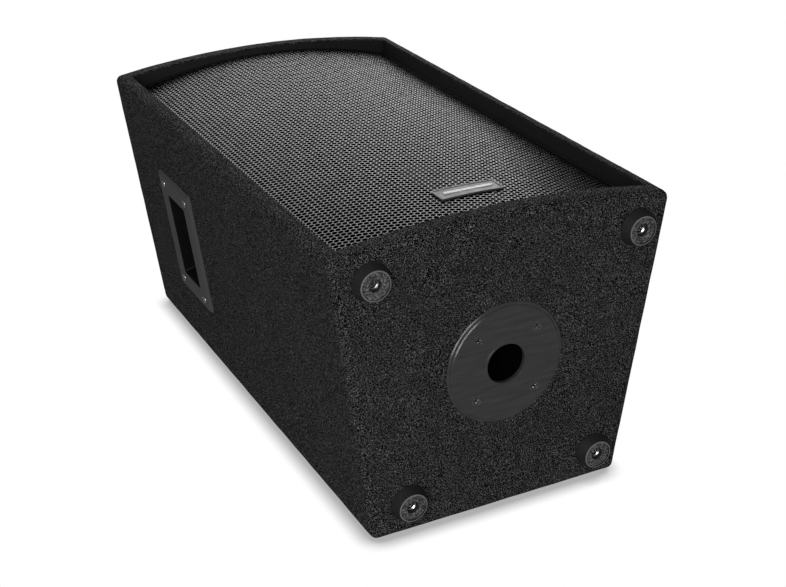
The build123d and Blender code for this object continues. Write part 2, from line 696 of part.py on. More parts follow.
# ================================================================ horn and its driver
def make_horn():
    plate = rounded_slab(HORN_PLATE[0], HORN_PLATE[1], 8, 0, HORN_THICK)
    plate = chamfer(plate.faces().sort_by(Axis.Z)[-1].edges(), 1.0)
    stations = ((0, 1.0), (-14, 0.68), (-30, 0.36), (-44, 0.14))
    wall = 3.0
    neck = THROAT_DEPTH - NECK_LENGTH

    def section(depth, share, grow):
        throat = 2 * THROAT_R
        width = throat + (HORN_MOUTH[0] - throat) * share + 2 * grow
        height = throat + (HORN_MOUTH[1] - throat) * share + 2 * grow
        radius = THROAT_R * 0.98 + (8 - THROAT_R) * share + grow
        return Pos(0, 0, depth) * RectangleRounded(width, height, radius)

    solid = [section(d, s, wall) for d, s in stations]
    solid.append(section(-neck, 0, wall))
    hollow = [section(HORN_THICK + 0.5, 1.03, 0)]
    hollow += [section(d, s, 0) for d, s in stations[1:]]
    hollow.append(section(-neck - 0.5, 0, 0))
    horn = plate + loft(solid) + rod(NECK_R, -THROAT_DEPTH, -neck) - loft(hollow)
    horn -= rod(THROAT_R, -THROAT_DEPTH - 1, -neck)
    horn = facing_front(0, BAFFLE_Y, HORN_Z) * horn
    for place in horn_screw_places():
        horn -= place * rod(SMALL_SCREW_R, -HORN_THICK - 1, 1)
    save("horn_flare", horn)
    save("horn_screws", group([p * pan_screw(SMALL_SCREW_R, 16, 3.6, 2.2) for p in horn_screw_places()]))


def make_driver():
    y = BAFFLE_Y + THROAT_DEPTH
    pole = (
        (THROAT_R, 0), (NECK_R, 0), (NECK_R, -NECK_LENGTH), (23, -NECK_LENGTH), (23, 0), (43, 0), (44, 1),
        (44, 8), (21, 8), (21, 28), (18.5, 28), (18.5, 24),
    )
    save("driver_pole_plate", turned_y([(r, y + d) for r, d in pole], 0, HORN_Z))
    magnet = ((26, 8), (43, 8), (44, 9), (44, 21), (43, 22), (26, 22))
    save("driver_magnet", turned_y([(r, y + d) for r, d in magnet], 0, HORN_Z))
    top = ((22.6, 22), (44, 22), (44, 28), (22.6, 28))
    save("driver_top_plate", turned_y([(r, y + d) for r, d in top], 0, HORN_Z))

    plug = turned_y([(0, y + 4), (9, y + 14), (16.6, y + 24), (16.6, y + 27.5), (0, y + 27.5)], 0, HORN_Z)
    ribs = plug
    for angle in (90, 210, 330):
        rib = Rot(0, angle, 0) * block(16, 18.45, y + 24.5, y + 27, -0.8, 0.8)
        ribs += Pos(0, 0, HORN_Z) * rib
    save("driver_phase_plug", ribs)

    dome_r = 22.0
    rise = 7.0
    base = y + 29.0
    outer = ThreePointArc((0, base + rise), (dome_r * 0.55, base + rise * 0.74), (dome_r, base))
    inner = ThreePointArc((0, base + rise - 0.4), (dome_r * 0.55 - 0.2, base + rise * 0.74 - 0.4), (dome_r - 0.5, base))
    ends = [Line(outer @ 0, inner @ 0), Line(outer @ 1, inner @ 1)]
    dome = Pos(0, 0, HORN_Z) * revolve(make_face([outer, inner] + ends), Axis.Y, 360)
    former = turned_y([(21.5, base - 8), (22.0, base - 8), (22.0, base), (21.5, base)], 0, HORN_Z)
    save("driver_diaphragm", dome + former)

    ring = ((22.1, 28.8), (25, 28.8), (27, 30.2), (29, 28.8), (30, 28), (39.5, 28), (39.5, 28.8), (30.4, 28.8),
            (29.2, 29.2), (27, 30.8), (24.8, 29.2), (22.1, 29.2))
    save("driver_suspension", turned_y([(r, y + d) for r, d in ring], 0, HORN_Z))

    cover = ((40, 28), (44, 28), (44, 40), (40, 46), (0, 46), (0, 43), (38.5, 43), (40, 40))
    shell = turned_y([(r, y + d) for r, d in cover], 0, HORN_Z)
    for x in (-9, 9):
        shell += block(x - 2.4, x + 2.4, y + 34, y + 34.8, HORN_Z - 52, HORN_Z - 43)
    save("driver_cover", shell)


def make_ports():
    tubes = []
    for x in (-PORT_X, PORT_X):
        outer = PORT_R + PORT_WALL
        points = (
            (PORT_R + 3, -3), (PORT_FLANGE_R - 1, -3), (PORT_FLANGE_R, -2), (PORT_FLANGE_R, 0), (outer, 0),
            (outer, PORT_LENGTH), (PORT_R, PORT_LENGTH), (PORT_R, 1), (PORT_R + 1, -1.6),
        )
        tubes.append(turned_y([(r, BAFFLE_Y + d) for r, d in points], x, PORT_Z))
    save("port_tubes", group(tubes))


# ================================================================ crossover, wires and wadding
def wire(route, radii, radius):
    """A round wire along straight runs joined by tangent arcs."""
    path = FilletPolyline(*route, radius=radii)
    start = Plane(origin=path @ 0, z_dir=path % 0)
    return sweep(start * Circle(radius), path=path)


def make_crossover():
    face = INNER_BACK_Y - POST_HEIGHT
    card = facing_front(0, face, BOARD_Z) * rounded_slab(BOARD_SIZE[0], BOARD_SIZE[1], 3, 0, BOARD_THICK)
    posts = []
    for sx in (-1, 1):
        for sz in (-1, 1):
            x = sx * (BOARD_SIZE[0] / 2 - 6)
            z = BOARD_Z + sz * (BOARD_SIZE[1] / 2 - 6)
            card -= facing_front(x, face, z) * rod(1.8, -1, BOARD_THICK + 1)
            post = rod(3.5, -POST_HEIGHT, 0) + rod(1.8, 0, BOARD_THICK) + rod(2.6, BOARD_THICK, BOARD_THICK + 1.8)
            posts.append(facing_front(x, face, z) * post)
    save("crossover_board", card)
    save("crossover_posts", group(posts))

    front = face - BOARD_THICK
    coils = []
    for x, z, outer in ((-32, BOARD_Z + 18, 19), (30, BOARD_Z - 20, 15)):
        spool = rod(outer + 1.5, 0, 1.5) + rod(outer * 0.45, 0, 20) + rod(outer + 1.5, 18.5, 20)
        winding = rod(outer, 1.5, 18.5)
        coils.append(facing_front(x, front, z) * (spool + winding - rod(outer * 0.3, -1, 21)))
    save("inductors", group(coils))
    cans = []
    for x, z, length in ((26, BOARD_Z + 24, 36), (-34, BOARD_Z - 22, 28)):
        can = Rot(0, 90, 0) * Cylinder(7.5, length)
        can = fillet(can.edges().filter_by(GeomType.CIRCLE), 1.2)
        cans.append(Pos(x, front - 7.5, z) * can)
    save("capacitors", group(cans))


def make_wires():
    front = INNER_BACK_Y - POST_HEIGHT - BOARD_THICK
    dish_back = BACK_Y - DISH_DEPTH - DISH_WALL
    y_in = dish_back - 34
    input_route = [
        (-20, y_in, DISH_Z), (-20, y_in - 18, DISH_Z + 12), (-24, y_in - 14, DISH_Z + 45),
        (-12, front - 34, BOARD_Z - 60), (-8, front - 12, BOARD_Z - 36), (-8, front - 1, BOARD_Z - 32),
    ]
    save("wire_input", wire(input_route, [9, 14, 14, 6], 2.2))
    woofer_route = [
        (6, front - 2, BOARD_Z - 20), (6, front - 24, BOARD_Z - 22), (20, front - 62, BOARD_Z - 30),
        (84, -4, WOOFER_Z + 40), (96, -20, WOOFER_Z - 20), (64, -26, WOOFER_Z - 96),
        (30, -46, WOOFER_Z - 110), (10, -48, WOOFER_Z - 106),
    ]
    save("wire_woofer", wire(woofer_route, [9, 16, 26, 26, 26, 10], 2.2))
    y_driver = BAFFLE_Y + THROAT_DEPTH + 34.4
    tweeter_route = [
        (10, front - 2, BOARD_Z + 6), (10, front - 22, BOARD_Z + 10), (30, front - 46, BOARD_Z + 40),
        (26, y_driver + 30, HORN_Z - 78), (12, y_driver + 6, HORN_Z - 74), (9, y_driver, HORN_Z - 56),
    ]
    save("wire_tweeter", wire(tweeter_route, [8, 16, 16, 8], 2.2))


def make_wadding():
    z0 = 350.0
    y1 = INNER_BACK_Y - 0.5
    pad = block(-92, 92, y1 - 22, y1, z0, INNER_TOP - 12)
    save("wadding", fillet(pad.edges(), 6))


make_boards()
make_carpet()
make_baffle()
make_grille()
make_badge()
make_handles()
make_pole_socket()
make_feet()
make_terminal_dish()
make_sockets()
make_woofer()
make_horn()
make_driver()
make_ports()
make_crossover()
make_wires()
make_wadding()
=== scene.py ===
import json
import math
import bmesh
import bpy
from mathutils import Matrix, Vector, noise


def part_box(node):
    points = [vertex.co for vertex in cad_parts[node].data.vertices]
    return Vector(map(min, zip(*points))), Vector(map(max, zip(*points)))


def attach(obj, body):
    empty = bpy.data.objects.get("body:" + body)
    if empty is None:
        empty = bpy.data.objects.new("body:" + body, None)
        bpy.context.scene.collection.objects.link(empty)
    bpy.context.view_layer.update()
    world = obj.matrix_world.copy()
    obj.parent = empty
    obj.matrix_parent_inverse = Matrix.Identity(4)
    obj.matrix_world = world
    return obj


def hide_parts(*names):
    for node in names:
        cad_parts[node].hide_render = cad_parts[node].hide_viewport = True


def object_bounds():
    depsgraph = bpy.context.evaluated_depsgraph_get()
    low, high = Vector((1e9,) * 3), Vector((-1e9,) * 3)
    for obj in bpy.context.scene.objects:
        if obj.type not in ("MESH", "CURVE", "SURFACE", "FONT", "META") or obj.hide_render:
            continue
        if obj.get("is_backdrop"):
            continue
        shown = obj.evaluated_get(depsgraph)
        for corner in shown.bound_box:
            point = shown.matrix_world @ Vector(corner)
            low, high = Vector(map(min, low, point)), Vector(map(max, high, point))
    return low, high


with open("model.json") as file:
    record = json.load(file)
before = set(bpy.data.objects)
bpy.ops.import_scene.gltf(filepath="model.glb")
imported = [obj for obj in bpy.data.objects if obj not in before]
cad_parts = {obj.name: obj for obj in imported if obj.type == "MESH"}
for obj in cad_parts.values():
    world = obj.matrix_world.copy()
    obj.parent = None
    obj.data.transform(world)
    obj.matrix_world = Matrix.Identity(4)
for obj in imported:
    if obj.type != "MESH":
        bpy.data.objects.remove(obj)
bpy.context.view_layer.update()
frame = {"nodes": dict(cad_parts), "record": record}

# The looks of a carpeted loudspeaker cabinet: the carpet, the perforated grille with its foam, the badge's
# bar and the wadding are made here, and every other piece keeps its CAD shape and gets a better material.
# Metres, in the frame of the model: +Z up, -Y is the grille side.

NODES = frame["nodes"]
ROOT = "cabinet"

# ---------------------------------------------------------------- camera
CAMERA_PLACE = Vector((-0.5664, -0.5835, -0.8694))
CAMERA_FORWARD = Vector((0.41610, 0.44352, 0.79382))
CAMERA_UP = Vector((0.20351, -0.89626, 0.39408))
CAMERA_LENS = 65.37
AMBIENT = (0.15, 0.10)  # light from behind the cabinet and from in front of the grille
STAGE_HALF = 6.0  # half size of the stage's planes
GRILLE_LIGHT = ((1.4, 1.4), 3.6)  # size and radiance
GRILLE_LIGHT_FROM = Vector((0.60, -0.62, 1.57))
STRIP_LIGHT = ((1.7, 0.22), 16.0)
STRIP_LIGHT_FROM = Vector((-1.16, -0.74, -1.45))
STRIP_ALONG = Vector((0.57, -0.745, -0.047))

# ---------------------------------------------------------------- cabinet
WRAP_LOW, WRAP_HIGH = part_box("carpet_wrap")
BOTTOM_Z = WRAP_LOW.z
TOP_Z = WRAP_HIGH.z
TIP_Y = WRAP_LOW.y  # the bowed front at the centre line
BACK_Y = WRAP_HIGH.y
WIDTH_FRONT = 0.320
WIDTH_BACK = 0.246
SIDE_DEPTH = 0.266
ARC_RISE = 0.014
CARPET = 0.0015
SIDE_WALL = 0.0135  # board and carpet
END_WALL = 0.0175
CORNER = 0.007  # rounding of the outer edges
SEAM_INSET = 0.011  # the back's carpet piece ends this far from the edges
SIDE_FRONT_Y = TIP_Y + ARC_RISE
TAPER = (WIDTH_FRONT - WIDTH_BACK) / 2 / SIDE_DEPTH
SIDE_ANGLE = math.atan(TAPER)
ARC_R = ((WIDTH_FRONT / 2) ** 2 + ARC_RISE ** 2) / (2 * ARC_RISE)
ARC_Y = TIP_Y + ARC_R
CARPET_STEP = 0.0055  # size of the carpet's mesh
BEND_STEPS = 4  # and its steps round a rounded edge
BOTTOM_LOOPS, TOP_LOOPS = 22, 24

# ---------------------------------------------------------------- openings hidden under flanges
POLE_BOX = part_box("pole_socket")
POLE_Y = (POLE_BOX[0].y + POLE_BOX[1].y) / 2
POLE_HOLE_R = 0.0205
HANDLE_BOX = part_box("handle_left")
HANDLE_Y = (HANDLE_BOX[0].y + HANDLE_BOX[1].y) / 2
HANDLE_Z = (HANDLE_BOX[0].z + HANDLE_BOX[1].z) / 2
HANDLE_HOLE = (0.051, 0.030)  # half sizes along the side and upwards
DISH_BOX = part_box("terminal_dish")
DISH_Z = (DISH_BOX[0].z + DISH_BOX[1].z) / 2
DISH_HOLE = (0.067, 0.038)

# ---------------------------------------------------------------- grille
GRILLE_LOW, GRILLE_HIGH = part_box("grille")
GRILLE_HALF = GRILLE_HIGH.x
GRILLE_SIDE_Y = -0.1155
GRILLE_SHEET = 0.0010
GRILLE_RISE = GRILLE_SIDE_Y - GRILLE_LOW.y
GRILLE_R = (GRILLE_HALF ** 2 + GRILLE_RISE ** 2) / (2 * GRILLE_RISE)
GRILLE_ARC_Y = GRILLE_LOW.y + GRILLE_R
HOLE_PITCH = 0.00512
HOLE_R = 0.00240
HOLE_SIDES = 8
GRILLE_MARGIN = 0.0065  # plain border round the holes
SAME_CORNER = 0.00002  # corners of cells this close are one point
FOAM_LOW, FOAM_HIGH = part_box("grille_foam")
FOAM_FRONT, FOAM_BACK = GRILLE_SHEET + 0.0002, GRILLE_SHEET + 0.0058  # behind the grille's front
FOAM_STEP = 0.006
FOAM_PORES = 0.00025  # unevenness of its faces
FOOT_DISH = 0.0015  # depth of a foot's face inside its rim

# ---------------------------------------------------------------- surfaces
MOUTH_Y, MOUTH_Z = 0.0072, 0.3886  # centre of a handle's mouth on the side's face
MOUTH_SHADE = (0.0465, 0.0236)  # half sizes of the painted shade in it, along the side and upwards
MOUTH_SHADE_LIP = 0.0034  # how far out from the side's face the mouth's painted shade reaches
PAINT_Y = -0.0745  # the boards are painted in front of this
MOULD_GRAIN = 1800
MOULD_DEPTH = 0.00018
WADDING_VOXEL = 0.005
WADDING_FLUFF = 0.002


# ================================================================ mesh helpers
def new_piece(name, mesh_data, material):
    """A finished piece made from (points, faces), riding on the cabinet."""
    mesh = bpy.data.meshes.new(name)
    mesh.from_pydata([tuple(p) for p in mesh_data[0]], [], mesh_data[1])
    mesh.validate()
    piece = bpy.data.objects.new(name, mesh)
    bpy.context.collection.objects.link(piece)
    mesh.materials.append(material)
    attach(piece, ROOT)
    return piece


def bake_modifiers(piece):
    """Makes the modifiers part of the piece's mesh."""
    graph = bpy.context.evaluated_depsgraph_get()
    mesh = bpy.data.meshes.new_from_object(piece.evaluated_get(graph))
    old = piece.data
    piece.modifiers.clear()
    piece.data = mesh
    mesh.name = piece.name
    bpy.data.meshes.remove(old)


def weld(piece, reach=0.00002):
    """Joins points that lie on each other and drops the slivers between them."""
    form = bmesh.new()
    form.from_mesh(piece.data)
    bmesh.ops.remove_doubles(form, verts=form.verts, dist=reach)
    bmesh.ops.dissolve_degenerate(form, edges=form.edges, dist=reach)
    form.to_mesh(piece.data)
    form.free()


def smooth(piece, degrees=35):
    """Smooth shading that breaks at edges sharper than that."""
    mesh = piece.data
    mesh.polygons.foreach_set("use_smooth", [True] * len(mesh.polygons))
    form = bmesh.new()
    form.from_mesh(mesh)
    limit = math.radians(degrees)
    for edge in form.edges:
        edge.smooth = len(edge.link_faces) == 2 and edge.calc_face_angle(0) < limit
    form.to_mesh(mesh)
    form.free()


def spread(low, high, step, through=()):
    """Numbers from low to high about step apart that pass through the given ones."""
    stops = [low] + sorted(through) + [high]
    values = [low]
    for a, b in zip(stops, stops[1:]):
        count = max(1, round((b - a) / step))
        values += [a + (b - a) * (i + 1) / count for i in range(count)]
    return values


# ================================================================ materials
class Surface:
    """A Principled material built node by node."""

    def __init__(self, name, **constants):
        self.material = bpy.data.materials.new(name)
        self.material.use_nodes = True
        self.tree = self.material.node_tree
        self.shader = self.tree.nodes["Principled BSDF"]
        self.place = self.add("ShaderNodeTexCoord").outputs["Object"]
        for socket, value in constants.items():
            self.shader.inputs[socket.replace("_", " ")].default_value = value

    def add(self, kind, **settings):
        node = self.tree.nodes.new(kind)
        for key, value in settings.items():
            setattr(node, key, value)
        return node

    def link(self, source, target):
        self.tree.links.new(source, target)

    def stretched(self, x, y, z):
        """The object's coordinates scaled along each axis."""
        mapping = self.add("ShaderNodeMapping")
        mapping.inputs["Scale"].default_value = (x, y, z)
        self.link(self.place, mapping.inputs["Vector"])
        return mapping.outputs["Vector"]

    def noise(self, scale, detail=3.0, rough=0.55, place=None):
        node = self.add("ShaderNodeTexNoise")
        node.inputs["Scale"].default_value = scale
        node.inputs["Detail"].default_value = detail
        node.inputs["Roughness"].default_value = rough
        self.link(place or self.place, node.inputs["Vector"])
        return node.outputs["Fac"]

    def cells(self, scale, feature="F1"):
        node = self.add("ShaderNodeTexVoronoi", feature=feature)
        node.inputs["Scale"].default_value = scale
        self.link(self.place, node.inputs["Vector"])
        return node.outputs["Distance"]

    def waves(self, scale, direction, distortion=0.0):
        node = self.add("ShaderNodeTexWave", bands_direction=direction)
        node.inputs["Scale"].default_value = scale
        node.inputs["Distortion"].default_value = distortion
        self.link(self.place, node.inputs["Vector"])
        return node.outputs["Fac"]

    def axes(self, source=None):
        """The X, Y and Z outputs of the object's coordinates, or of another vector."""
        node = self.add("ShaderNodeSeparateXYZ")
        self.link(source or self.place, node.inputs[0])
        return node.outputs

    def ramp(self, value, stops):
        """Colours or greys by value: stops are (position, grey or colour)."""
        node = self.add("ShaderNodeValToRGB")
        elements = node.color_ramp.elements
        while len(elements) < len(stops):
            elements.new(0.5)
        for element, (position, colour) in zip(elements, stops):
            if isinstance(colour, (int, float)):
                colour = (colour, colour, colour)
            element.position = position
            element.color = (*colour, 1.0)
        self.link(value, node.inputs["Fac"])
        return node.outputs["Color"]

    def math(self, kind, a, b):
        node = self.add("ShaderNodeMath", operation=kind)
        for socket, value in zip(node.inputs, (a, b)):
            if isinstance(value, (int, float)):
                socket.default_value = value
            else:
                self.link(value, socket)
        return node.outputs["Value"]

    def mix(self, factor, a, b, blend="MIX"):
        node = self.add("ShaderNodeMix", data_type="RGBA", blend_type=blend)
        for socket, value in zip((node.inputs[0], node.inputs[6], node.inputs[7]), (factor, a, b)):
            if isinstance(value, (int, float)):
                socket.default_value = value
            elif isinstance(value, tuple):
                socket.default_value = (*value, 1.0)
            else:
                self.link(value, socket)
        return node.outputs[2]

    def colour(self, source):
        self.link(source, self.shader.inputs["Base Color"])

    def roughness(self, value, low, high):
        """Roughness between low and high as value goes from 0 to 1."""
        self.link(self.ramp(value, ((0.25, low), (0.75, high))), self.shader.inputs["Roughness"])

    def bump(self, height, distance, strength=1.0):
        node = self.add("ShaderNodeBump")
        node.inputs["Distance"].default_value = distance
        node.inputs["Strength"].default_value = strength
        self.link(height, node.inputs["Height"])
        old = self.shader.inputs["Normal"]
        if old.is_linked:
            self.link(old.links[0].from_socket, node.inputs["Normal"])
        self.link(node.outputs["Normal"], old)


def carpet_surface():
    """Needled felt: near-black fibres with paler and darker flecks about a millimetre apart."""
    s = Surface("carpet", Roughness=1.0, Sheen_Weight=0.015, Sheen_Roughness=0.5, Specular_IOR_Level=0.06)
    fibre = s.noise(1600, 2.0, 0.7)
    fleck = s.noise(1500, 2.5, 0.6)
    base = s.ramp(fleck, ((0.41, 0.0003), (0.51, 0.005), (0.57, 0.030), (0.625, 0.70)))
    thread = s.ramp(fibre, ((0.3, 0.42), (0.7, 0.82)))
    cloud = s.ramp(s.noise(24, 3.0), ((0.3, 0.84), (0.7, 1.0)))
    ground = s.mix(1.0, s.mix(1.0, base, thread, "MULTIPLY"), cloud, "MULTIPLY")
    spark = s.ramp(s.noise(820, 1.0, 0.5), ((0.66, 0.0), (0.73, 0.30)))
    s.colour(s.mix(1.0, ground, spark, "ADD"))
    s.bump(fibre, 0.0005, 0.5)
    s.bump(fleck, 0.0008, 0.5)
    return s.material


def board_surface():
    """Plywood with its plies, painted black where it shows in front of the grille."""
    s = Surface("board", Roughness=0.6)
    grain = s.noise(60, 4.0, 0.6, s.stretched(1, 1, 0.12))
    wood = s.ramp(grain, ((0.3, (0.30, 0.17, 0.08)), (0.6, (0.50, 0.33, 0.17)), (0.8, (0.60, 0.43, 0.25))))
    plies = s.ramp(s.waves(160, "X"), ((0.2, 0.72), (0.8, 1.0)))
    wood = s.mix(1.0, wood, plies, "MULTIPLY")
    painted = s.math("LESS_THAN", s.axes()["Y"], PAINT_Y)
    paint = s.ramp(s.noise(700, 3.0), ((0.3, 0.010), (0.7, 0.018)))
    s.colour(s.mix(painted, wood, paint))
    s.roughness(s.noise(300, 2.0), 0.5, 0.75)
    s.bump(s.noise(900, 3.0), 0.0002, 0.4)
    return s.material


def powder_surface(name, value, rough, grain=2600, gloss=0.5):
    """Powder-coated steel: satin, with a fine orange-peel grain and faint rubs."""
    s = Surface(name, Specular_IOR_Level=gloss)
    patch = s.noise(90, 4.0)
    speck = s.noise(grain, 2.0, 0.6)
    base = s.ramp(speck, ((0.3, value * 0.72), (0.7, value * 1.3)))
    s.colour(s.mix(1.0, base, s.ramp(patch, ((0.3, 0.85), (0.7, 1.0))), "MULTIPLY"))
    s.roughness(patch, rough - 0.05, rough + 0.08)
    s.bump(speck, 0.00012, 0.35)
    return s.material


def moulded_surface(name, value, rough, gloss=0.5):
    """Moulded plastic with a fine spark-eroded texture."""
    s = Surface(name, Specular_IOR_Level=gloss)
    speck = s.noise(MOULD_GRAIN, 3.0, 0.6)
    patch = s.noise(120, 3.0)
    base = s.ramp(speck, ((0.3, value * 0.8), (0.7, value * 1.25)))
    s.colour(s.mix(1.0, base, s.ramp(patch, ((0.3, 0.88), (0.7, 1.0))), "MULTIPLY"))
    s.roughness(patch, rough - 0.06, rough + 0.08)
    s.bump(speck, MOULD_DEPTH, 0.5)
    return s.material


def handle_surface():
    """The handles' plastic: greyed by use on the frame, with a near-black painted shade down in the pocket
    and the mouth.
    """
    s = Surface("handle", Specular_IOR_Level=0.25)
    speck = s.noise(MOULD_GRAIN, 3.0, 0.6)
    x, y, z = s.axes()
    half = s.math("ABSOLUTE", x, 0)
    across = s.math("ADD", half, s.math("MULTIPLY", y, TAPER))
    along = s.math("SUBTRACT", y, s.math("MULTIPLY", half, TAPER))
    plane = WIDTH_FRONT / 2 + TAPER * SIDE_FRONT_Y
    centre = MOUTH_Y - TAPER * (plane - TAPER * MOUTH_Y)
    near_y = s.math("LESS_THAN", s.math("ABSOLUTE", s.math("SUBTRACT", along, centre), 0), MOUTH_SHADE[0])
    near_z = s.math("LESS_THAN", s.math("ABSOLUTE", s.math("SUBTRACT", z, MOUTH_Z), 0), MOUTH_SHADE[1])
    shade_lip = s.math("MULTIPLY", s.math("MULTIPLY", near_y, near_z), MOUTH_SHADE_LIP)
    outside_pocket_shade = s.math("GREATER_THAN", across, s.math("ADD", shade_lip, plane - 0.0008))
    frame_grey = s.ramp(speck, ((0.3, 0.085), (0.7, 0.135)))
    # painted shade: the pocket and the mouth are coloured near black, the frame keeps its grey plastic
    s.colour(s.mix(outside_pocket_shade, (0.006, 0.006, 0.006), frame_grey))
    s.roughness(s.noise(120, 3.0), 0.38, 0.52)
    s.bump(speck, MOULD_DEPTH, 0.5)
    return s.material


def rubber_surface():
    """Moulded rubber, near black on its sides and scuffed grey where it stands on the floor, with a pale rim
    ring that is part wear and part painted highlight.
    """
    s = Surface("rubber")
    mottle = s.noise(900, 4.0, 0.7)
    skin = s.ramp(mottle, ((0.35, 0.008), (0.70, 0.032)))
    scuffed = s.ramp(mottle, ((0.42, 0.02), (0.52, 0.09), (0.62, 0.42)))
    # the rim's pale ring is part wear and part a painted highlight
    rim = s.ramp(mottle, ((0.35, 0.20), (0.65, 0.33)))
    height = s.axes()["Z"]
    facing = s.axes(s.add("ShaderNodeNewGeometry").outputs["Normal"])
    down = s.math("LESS_THAN", facing["Z"], -0.7)
    on_face = s.math("MULTIPLY", down, s.math("LESS_THAN", height, FOOT_DISH + 0.0002))
    worn_and_rim_highlight = s.mix(s.math("LESS_THAN", height, 0.00035), scuffed, rim)
    s.colour(s.mix(on_face, skin, worn_and_rim_highlight))
    s.roughness(mottle, 0.5, 0.75)
    s.bump(mottle, 0.0004, 0.6)
    return s.material


def enamel_surface():
    """Glossy black enamel with faint turning marks; within the pole socket, above the cabinet's bottom, a
    painted shade makes it nearly black and takes away its reflection.
    """
    s = Surface("black_steel", Specular_IOR_Level=0.9)
    speck = s.noise(1500, 2.0, 0.6)
    marks = s.noise(260, 3.0, 0.6, s.stretched(0.12, 1, 1))
    base = s.ramp(marks, ((0.3, 0.050), (0.7, 0.076)))
    # painted shade: above the bottom face the colour goes near black and the specular level drops
    inside_painted_shade = s.math("GREATER_THAN", s.axes()["Z"], BOTTOM_Z + 0.001)
    s.colour(s.mix(inside_painted_shade, base, (0.003, 0.003, 0.003)))
    s.link(s.mix(inside_painted_shade, (0.9, 0.9, 0.9), (0.02, 0.02, 0.02)), s.shader.inputs["Specular IOR Level"])
    s.roughness(marks, 0.19, 0.27)
    s.bump(speck, 0.00006, 0.25)
    return s.material


def zinc_surface(name, dark, light, polish):
    """Zinc-plated or bare steel with fine machining lines."""
    s = Surface(name, Metallic=1.0)
    patch = s.noise(500, 3.0)
    lines = s.noise(900, 2.0, 0.5, s.stretched(1, 1, 5))
    s.colour(s.ramp(patch, ((0.3, (dark, dark, dark * 0.97)), (0.7, (light, light, light * 0.97)))))
    s.roughness(lines, polish, polish + 0.12)
    s.bump(lines, 0.00005, 0.3)
    return s.material


def foam_surface():
    """Open-cell foam, near black."""
    s = Surface("foam", Roughness=1.0, Specular_IOR_Level=0.0)
    cell = s.cells(900)
    s.colour(s.ramp(cell, ((0.1, 0.0005), (0.7, 0.0030))))
    s.bump(cell, 0.0006, 0.8)
    return s.material


def pulp_surface():
    """Pressed paper pulp with short fibres."""
    s = Surface("cone_paper", Roughness=0.8)
    fibre = s.noise(700, 5.0, 0.7)
    s.colour(s.ramp(fibre, ((0.3, 0.012), (0.7, 0.034))))
    s.bump(fibre, 0.0003, 0.5)
    return s.material


def cloth_surface():
    """Impregnated cloth with a plain weave."""
    s = Surface("cloth", Roughness=0.85, Sheen_Weight=0.1)
    weave = s.mix(1.0, s.waves(420, "X", 0.5), s.waves(420, "Z", 0.5), "MULTIPLY")
    s.colour(s.ramp(weave, ((0.1, (0.05, 0.032, 0.018)), (0.8, (0.16, 0.10, 0.055)))))
    s.bump(weave, 0.0003, 0.6)
    return s.material


def ferrite_surface():
    """Sintered ferrite: matt dark grey with grinding marks."""
    s = Surface("ferrite")
    grain = s.noise(1200, 3.0, 0.7)
    s.colour(s.ramp(grain, ((0.3, 0.030), (0.7, 0.075))))
    s.roughness(grain, 0.55, 0.8)
    s.bump(s.noise(500, 2.0, 0.5, s.stretched(6, 1, 1)), 0.0002, 0.4)
    return s.material


def copper_surface():
    """Enamelled copper wire in close turns."""
    s = Surface("copper", Metallic=1.0)
    turns = s.waves(220, "Y", 0.3)
    s.colour(s.ramp(turns, ((0.1, (0.30, 0.09, 0.035)), (0.7, (0.80, 0.36, 0.17)))))
    s.roughness(turns, 0.25, 0.42)
    s.bump(turns, 0.0005, 0.7)
    return s.material


def foil_surface():
    """Thin drawn metal foil."""
    s = Surface("titanium", Metallic=1.0)
    patch = s.noise(260, 3.0)
    s.colour(s.ramp(patch, ((0.3, (0.42, 0.42, 0.44)), (0.7, (0.62, 0.62, 0.64)))))
    s.roughness(patch, 0.25, 0.4)
    return s.material


def resin_surface():
    """A green circuit board with its copper tracks showing under the resist."""
    s = Surface("board_resin", Coat_Weight=0.3, Coat_Roughness=0.2)
    track = s.ramp(s.cells(70, "DISTANCE_TO_EDGE"), ((0.06, 1.0), (0.10, 0.0)))
    s.colour(s.mix(track, (0.015, 0.085, 0.035), (0.045, 0.19, 0.075)))
    s.roughness(s.noise(200), 0.3, 0.45)
    s.bump(track, 0.0001, 0.5)
    return s.material


def sleeve_surface(name, dark, light, rough):
    """A smooth plastic sleeve or wire cover, slightly uneven."""
    s = Surface(name)
    patch = s.noise(300, 3.0)
    s.colour(s.ramp(patch, ((0.3, dark), (0.7, light))))
    s.roughness(patch, rough - 0.05, rough + 0.1)
    s.bump(patch, 0.0002, 0.3)
    return s.material


def wadding_surface():
    """Loose white fibre wadding."""
    s = Surface("wadding", Roughness=1.0, Sheen_Weight=0.4, Subsurface_Weight=0.15)
    strand = s.noise(420, 6.0, 0.75)
    s.colour(s.ramp(strand, ((0.3, (0.48, 0.47, 0.44)), (0.7, (0.85, 0.84, 0.80)))))
    s.bump(strand, 0.002, 0.7)
    return s.material


